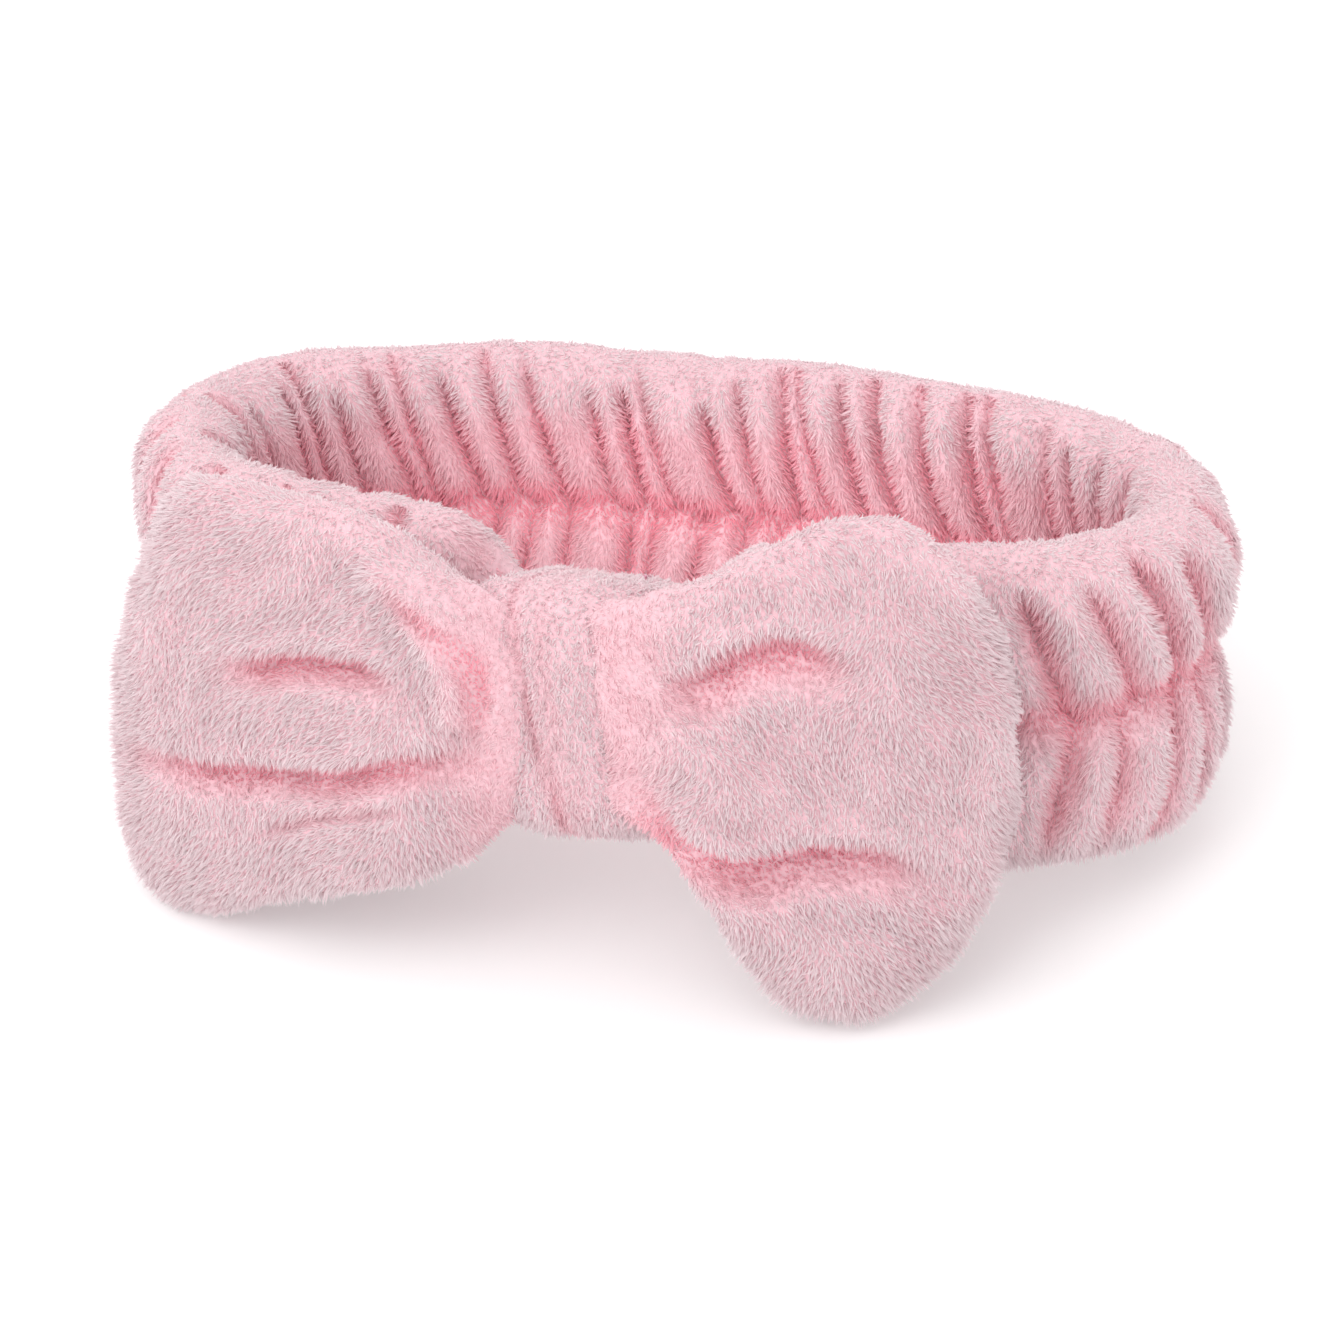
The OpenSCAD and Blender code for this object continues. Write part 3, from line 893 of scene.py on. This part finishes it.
def dressWing(ob, look):
    # where the wing's pile gets painted shade, in its creases and beside the knot, where it is thin or
    # short, and which way it lies
    plush = wingPlush
    p = unplace(readPoints(ob))
    x = p[:, 0] * look["sign"]
    root = 1 - smooth(12, 26, x)
    onFront = vertexNormals(ob)[:, 1] < 0
    falls = [creaseFall(x, p[:, 2], c) / max(c["depth"], plush["shallow"]) for c in look["creases"]]
    pit = np.clip(sum(falls), 0, 1) * onFront
    addFloats(ob, "pilePaintedShade", np.clip(plush["paintedCreaseShade"] * pit**0.9 + plush["paintedRootShade"] * root, 0, 1))
    behind = smooth(0.2, 0.7, vertexNormals(ob)[:, 1])
    addFloats(ob, "pileDensity", 1 - plush["thinRoot"] * root - plush["thinBehind"] * behind)
    uneven = plush["uneven"] * lumps(p, 5, look["seed"] + 5)
    addFloats(ob, "pileLength", 1 - plush["shorterRoot"] * root - uneven - plush["shorterInCrease"] * pit)
    flow = np.zeros_like(p)
    spin = plush["swirl"] * lumps(p, plush["swirlSize"], look["seed"] + 6)
    flow[:, 0] = look["sign"] * plush["outwards"] + spin
    flow[:, 2] = plush["down"]
    flow /= np.linalg.norm(flow, axis=1)[:, None]
    turned = np.stack([flow[:, 0], flow[:, 2] * math.sin(lean), flow[:, 2] * math.cos(lean)], 1)
    addVectors(ob, "pileFlow", turned)
    ob.data.materials.append(plushBacking)


wingPiles = {}
for sideName, look in wings.items():
    cloth = buildWing(sideName + "WingCloth", look)
    dressWing(cloth, look)
    wingPiles[sideName] = growPile(cloth, sideName + "WingPile", plushPile, seed=20 + look["sign"])
    body = sideName + "_wing"
    for piece in (cloth, wingPiles[sideName]):
        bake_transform(piece)
    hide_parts(body + "_shell", body + "_fill")
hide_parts("left_wing_seam")

# the knot
knot = {
    "front": 69.6, "back": 36.0, "low": 12.8, "high": 57.8, "corner": 10.0, "halfWidth": 14.4, "thick": 2.2,
    "turn": 0.17, "shift": -1.6, "slope": 6.5,  # leans over, stands aside and falls towards the back
    "around": 150, "across": 60,
    "folds": [(-4.2, -0.07, 1.4, 1.0), (0.5, -0.05, 0.5, 2.0)],  # where, slant, depth, width
    "crown": 0.9, "narrow": 0.06, "uneven": 0.35, "unevenSize": 9,
}


def roundRect(y0, y1, z0, z1, r, count):
    # a rectangle with rounded corners, in the y and z plane
    corners = []
    centres = ((y1 - r, z0 + r), (y1 - r, z1 - r), (y0 + r, z1 - r), (y0 + r, z0 + r))
    for (cy, cz), a in zip(centres, (-90, 0, 90, 180)):
        t = np.radians(np.linspace(a, a + 90, 16))
        corners.append(np.stack([cy + r * np.cos(t), cz + r * np.sin(t)], 1))
    return evenSteps(np.concatenate(corners), count, True)


def buildKnot():
    # a strip swept round the band and the bow, with folds in its outer face
    n, m = knot["around"], knot["across"]
    ring = roundRect(-knot["front"], -knot["back"], knot["low"], knot["high"], knot["corner"], n)
    ahead = np.roll(ring, -1, 0) - np.roll(ring, 1, 0)
    ahead /= np.linalg.norm(ahead, axis=1)[:, None]
    outward = np.stack([ahead[:, 1], -ahead[:, 0]], 1)
    turn = np.linspace(0, 2 * math.pi, m, endpoint=False)
    across = np.sign(np.cos(turn)) * np.abs(np.cos(turn)) ** 0.7
    lift = np.sign(np.sin(turn)) * np.abs(np.sin(turn)) ** 0.8
    a, b = np.meshgrid(np.arange(n), np.arange(m), indexing="ij")
    a, b = a.ravel(), b.ravel()
    y, z = ring[a, 0], ring[a, 1]
    z = z - knot["slope"] * smooth(-63, -38, y) * smooth(35, 55, z)
    front = smooth(-50, -66, y)
    fromMiddle = z - (knot["low"] + knot["high"]) / 2
    aside = (knot["shift"] - fromMiddle * knot["turn"]) * front
    narrow = 1 - knot["narrow"] * np.cos(fromMiddle / 24 * math.pi / 2) * front
    x = across[b] * knot["halfWidth"] * narrow
    fall = np.zeros(len(x))
    for at, slant, depth, width in knot["folds"]:
        fall += depth * np.exp(-(((x - at - slant * fromMiddle) / width) ** 2))
    bulge = knot["crown"] * np.cos(x / knot["halfWidth"] * math.pi / 2)
    thick = lift[b] * knot["thick"] + np.where(lift[b] > 0, bulge - fall, 0)
    p = np.stack([x + aside, y + outward[a, 0] * thick, z + outward[a, 1] * thick], 1)
    side = knot["uneven"] * lumps(p, knot["unevenSize"], 31)
    p[:, 1] += outward[a, 0] * side
    p[:, 2] += outward[a, 1] * side
    ob = makeMesh("knotCloth", place(p), gridFaces(n, m, True, True))
    turnOutward(ob)
    ob.data.materials.append(plushBacking)
    addFloats(ob, "pileDensity", np.where(lift[b] < -0.3, 0.2, 1.15))  # sparse on the hidden inner face
    # painted shade: a deeper pink in the knot's folds
    addFloats(ob, "pilePaintedShade", np.clip(fall / 2.5, 0, 0.5))
    addFloats(ob, "pileLength", np.full(len(p), 0.75))
    addVectors(ob, "pileFlow", np.tile(direction((0.25, 0, -0.8)), (len(p), 1)))
    return ob


knotCloth = buildKnot()
knotPile = growPile(knotCloth, "knotPile", plushPile, seed=30)
for piece in (knotCloth, knotPile):
    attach(piece, "front")
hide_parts("knot_wrap")

# rows that run round the band: tape and sewn threads
def sweepRow(name, outline, material, stations=240):
    # carries a small outline round the loop
    n, m = stations, len(outline)
    s = np.repeat(np.arange(n) * loopLength / n, m)
    x, y, nx, ny = loopFrame(s)
    out = np.tile(np.asarray(outline)[:, 0], n)
    z = np.tile(np.asarray(outline)[:, 1], n)
    p = np.stack([x + nx * out, y + ny * out, z], 1)
    ob = makeMesh(name, place(p), gridFaces(n, m, True, True)[:, ::-1])
    ob.data.materials.append(material)
    stretchy(ob)
    return ob


def roundOutline(out, z, radius, sides=8):
    t = np.linspace(0, 2 * math.pi, sides, endpoint=False)
    return np.stack([out + radius * np.cos(t), z + radius * np.sin(t)], 1)


waistZ = bandSizes["height"] / 2
tapeSizes = {"halfThick": 0.6, "halfTall": 5.0}
rowSizes = {"waistOut": 2.4, "waistRadius": 0.35, "hemOut": -6.3, "hemUp": 6.5, "hemRadius": 0.4}
tapeOutline = [(side * tapeSizes["halfThick"], waistZ + up * tapeSizes["halfTall"])
               for side, up in ((1, -1), (1, 1), (-1, 1), (-1, -1))]
tape = sweepRow("elasticTape", tapeOutline, tapeWeave)
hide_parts("elastic_front", "elastic_back")
for sideName, side in (("outer", 1), ("inner", -1)):
    outline = roundOutline(side * rowSizes["waistOut"], waistZ, rowSizes["waistRadius"])
    row = sweepRow(sideName + "WaistRow", outline, pinkThread)
    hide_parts(sideName + "_row_front", sideName + "_row_back")
hemOutline = roundOutline(rowSizes["hemOut"], rowSizes["hemUp"], rowSizes["hemRadius"])
hemRow = sweepRow("hemRow", hemOutline, pinkThread)
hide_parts("hem_seam_front", "hem_seam_back")

for piece in [bandCloth, *bandPiles]:
    stretchy(piece)
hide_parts("sleeve_front", "sleeve_back")

# CAD nodes that stay
for nodeName, material in (("elastic_lap", tapeWeave), ("lap_tacks", pinkThread), ("end_seam", pinkThread),
                           ("knot_stitches", pinkThread), ("bow_waist", plushBacking),
                           ("gather_thread", pinkThread), ("bow_tacks", pinkThread)):
    ob = frame["nodes"][nodeName]
    ob.data.materials.clear()
    ob.data.materials.append(material)

# the studio
studio = {
    "azimuth": 16.4, "elevation": 24.2, "roll": -0.6, "distance": 740.0,  # degrees and mm
    "lens": 99.8, "shiftX": -0.0032, "shiftY": -0.0604,
    "floorHalf": 6.0, "floorTone": 0.85, "floorGlow": 0.2, "surround": 0.98,
}
lights = {
    "topSoftbox": {"spot": (-0.2, -0.45, 1.3), "aim": (0, 0, 0.05), "size": 1.0, "power": 3.5},
    "frontSoftbox": {"spot": (-0.6, -1.1, 1.3), "aim": (0, 0, 0.05), "size": 1.0, "power": 5.5},
    "sideSoftbox": {"spot": (1.3, -0.6, 0.7), "aim": (0, 0, 0.05), "size": 0.8, "power": 1.5},
    "loopFill": {"spot": (0, 0, 0.045), "aim": (0, 0.06, 0.045), "size": 0.11, "power": 0.018},
}
loopFillTall = 0.04


def buildCamera():
    # looks at the band from its right and from above
    a, e, r = (math.radians(studio[k]) for k in ("azimuth", "elevation", "roll"))
    back = np.array([math.sin(a) * math.cos(e), -math.cos(a) * math.cos(e), math.sin(e)])
    right = np.array([math.cos(a), math.sin(a), 0.0])
    up = np.cross(back, right)
    right, up = right * math.cos(r) + up * math.sin(r), -right * math.sin(r) + up * math.cos(r)
    centre = np.array([0, 0, bandSizes["height"] / 2])
    columns = [direction(v) for v in (right, up, back)]
    turn = Matrix([[columns[c][row] for c in range(3)] for row in range(3)]).to_4x4()
    lens = bpy.data.cameras.new("camera")
    lens.lens = studio["lens"]
    lens.sensor_width = 36
    lens.shift_x, lens.shift_y = studio["shiftX"], studio["shiftY"]
    lens.clip_start, lens.clip_end = 0.01, 20
    camera = bpy.data.objects.new("camera", lens)
    camera.matrix_world = Matrix.Translation(Vector(place(centre + studio["distance"] * back))) @ turn
    bpy.context.scene.collection.objects.link(camera)
    bpy.context.scene.camera = camera


def areaLight(name, look):
    light = bpy.data.lights.new(name, "AREA")
    light.energy = look["power"]
    light.size = look["size"]
    ob = bpy.data.objects.new(name, light)
    ob.location = look["spot"]
    ob.rotation_euler = (Vector(look["aim"]) - Vector(look["spot"])).to_track_quat("-Z", "Y").to_euler()
    bpy.context.scene.collection.objects.link(ob)
    return ob


def buildStudio():
    size = studio["floorHalf"]
    corners = [(-size, -size, 0), (size, -size, 0), (size, size, 0), (-size, size, 0)]
    floor = makeMesh("floor", corners, [(0, 1, 2, 3)])
    mat, _, _, shader = nodeMaterial("paleFloor")
    shader.inputs["Base Color"].default_value = (*[studio["floorTone"]] * 3, 1)
    shader.inputs["Emission Color"].default_value = (1, 1, 1, 1)
    shader.inputs["Emission Strength"].default_value = studio["floorGlow"]
    shader.inputs["Roughness"].default_value = 0.9
    floor.data.materials.append(mat)
    world = bpy.data.worlds.new("studio")
    bpy.context.scene.world = world
    world.use_nodes = True
    backdrop = world.node_tree.nodes["Background"]
    backdrop.inputs["Color"].default_value = (1, 1, 1, 1)
    backdrop.inputs["Strength"].default_value = studio["surround"]
    boxes = {name: areaLight(name, look) for name, look in lights.items()}
    fill = boxes["loopFill"]  # stands inside the loop, out of the camera's sight
    fill.data.shape = "RECTANGLE"
    fill.data.size_y = loopFillTall
    fill.visible_camera = False
    bpy.context.scene.view_settings.view_transform = "Standard"


buildCamera()
buildStudio()

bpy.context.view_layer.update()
shown = [o for o in bpy.context.scene.objects if o.type == "MESH"]
print("faces in all:", sum(len(o.data.polygons) for o in shown))
